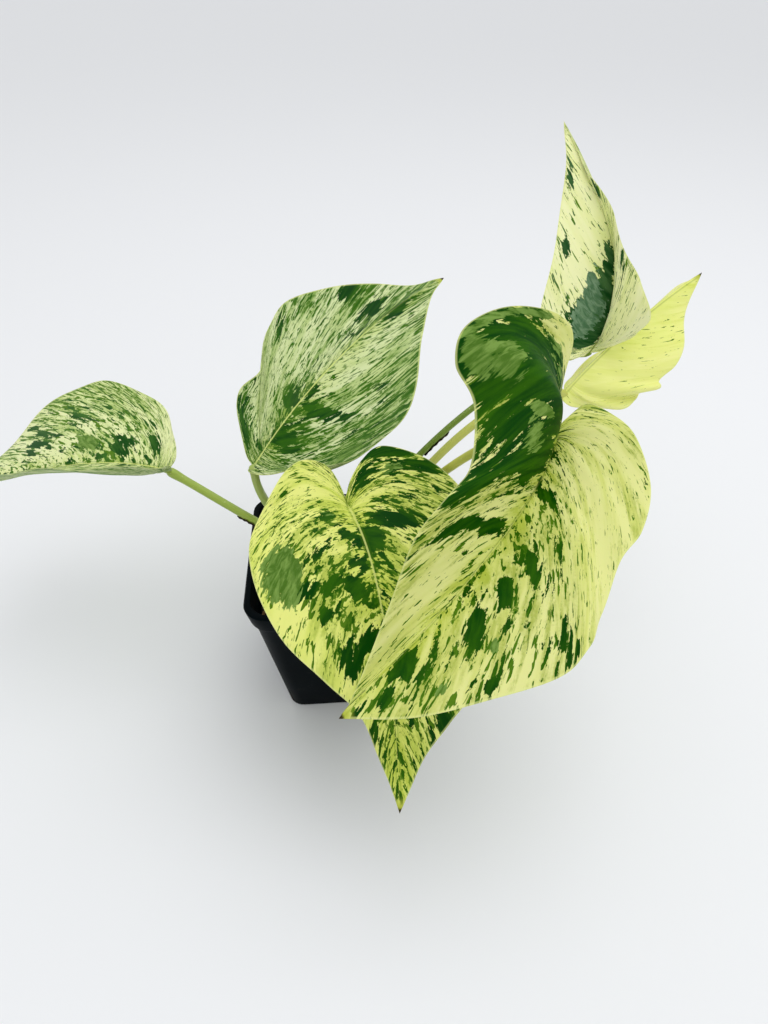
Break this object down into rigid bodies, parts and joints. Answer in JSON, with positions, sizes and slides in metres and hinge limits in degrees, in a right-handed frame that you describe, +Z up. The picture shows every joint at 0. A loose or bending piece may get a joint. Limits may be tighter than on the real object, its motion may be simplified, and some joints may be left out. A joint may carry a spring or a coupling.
{
  "type": "potted plant",
  "caption": "Small variegated pothos with heart-shaped cream and green leaves on long petioles, growing in a square black nursery pot.",
  "frame": {"origin": "centre of the pot's underside, on the surface the plant stands on", "axes": "+Z up, +X to the right and -Y to the front as the plant is usually seen; the pot's sides are parallel to X and Y"},
  "size_m": [0.3105, 0.1988, 0.2057],
  "materials": {
    "pot_plastic": "satin",
    "potting_mix": "matte",
    "bark": "matte",
    "stem": "satin",
    "dry_sheath": "matte",
    "leaf_cream": "satin",
    "leaf_green": "satin"
  },
  "bodies": {
    "root": {"pot": "pot_plastic", "soil": "potting_mix", "vine_left": "stem", "vine_right": "stem", "blade_left": "leaf_green", "petiole_left": "stem", "blade_rear": "leaf_green", "petiole_rear": "stem", "blade_front": "leaf_cream", "petiole_front": "stem", "blade_large": "leaf_cream", "petiole_large": "stem", "blade_tall": "leaf_cream", "petiole_tall": "stem", "blade_small": "leaf_cream", "petiole_small": "stem", "sheath_left": "dry_sheath", "sheath_tall": "dry_sheath", "chip_01": "bark", "chip_02": "bark", "chip_03": "bark", "chip_04": "bark", "chip_05": "bark", "chip_06": "bark", "chip_07": "bark", "chip_08": "bark", "chip_09": "bark", "chip_10": "bark", "chip_11": "bark", "chip_12": "bark", "chip_13": "bark", "chip_14": "bark"}
  },
  "joints": []
}
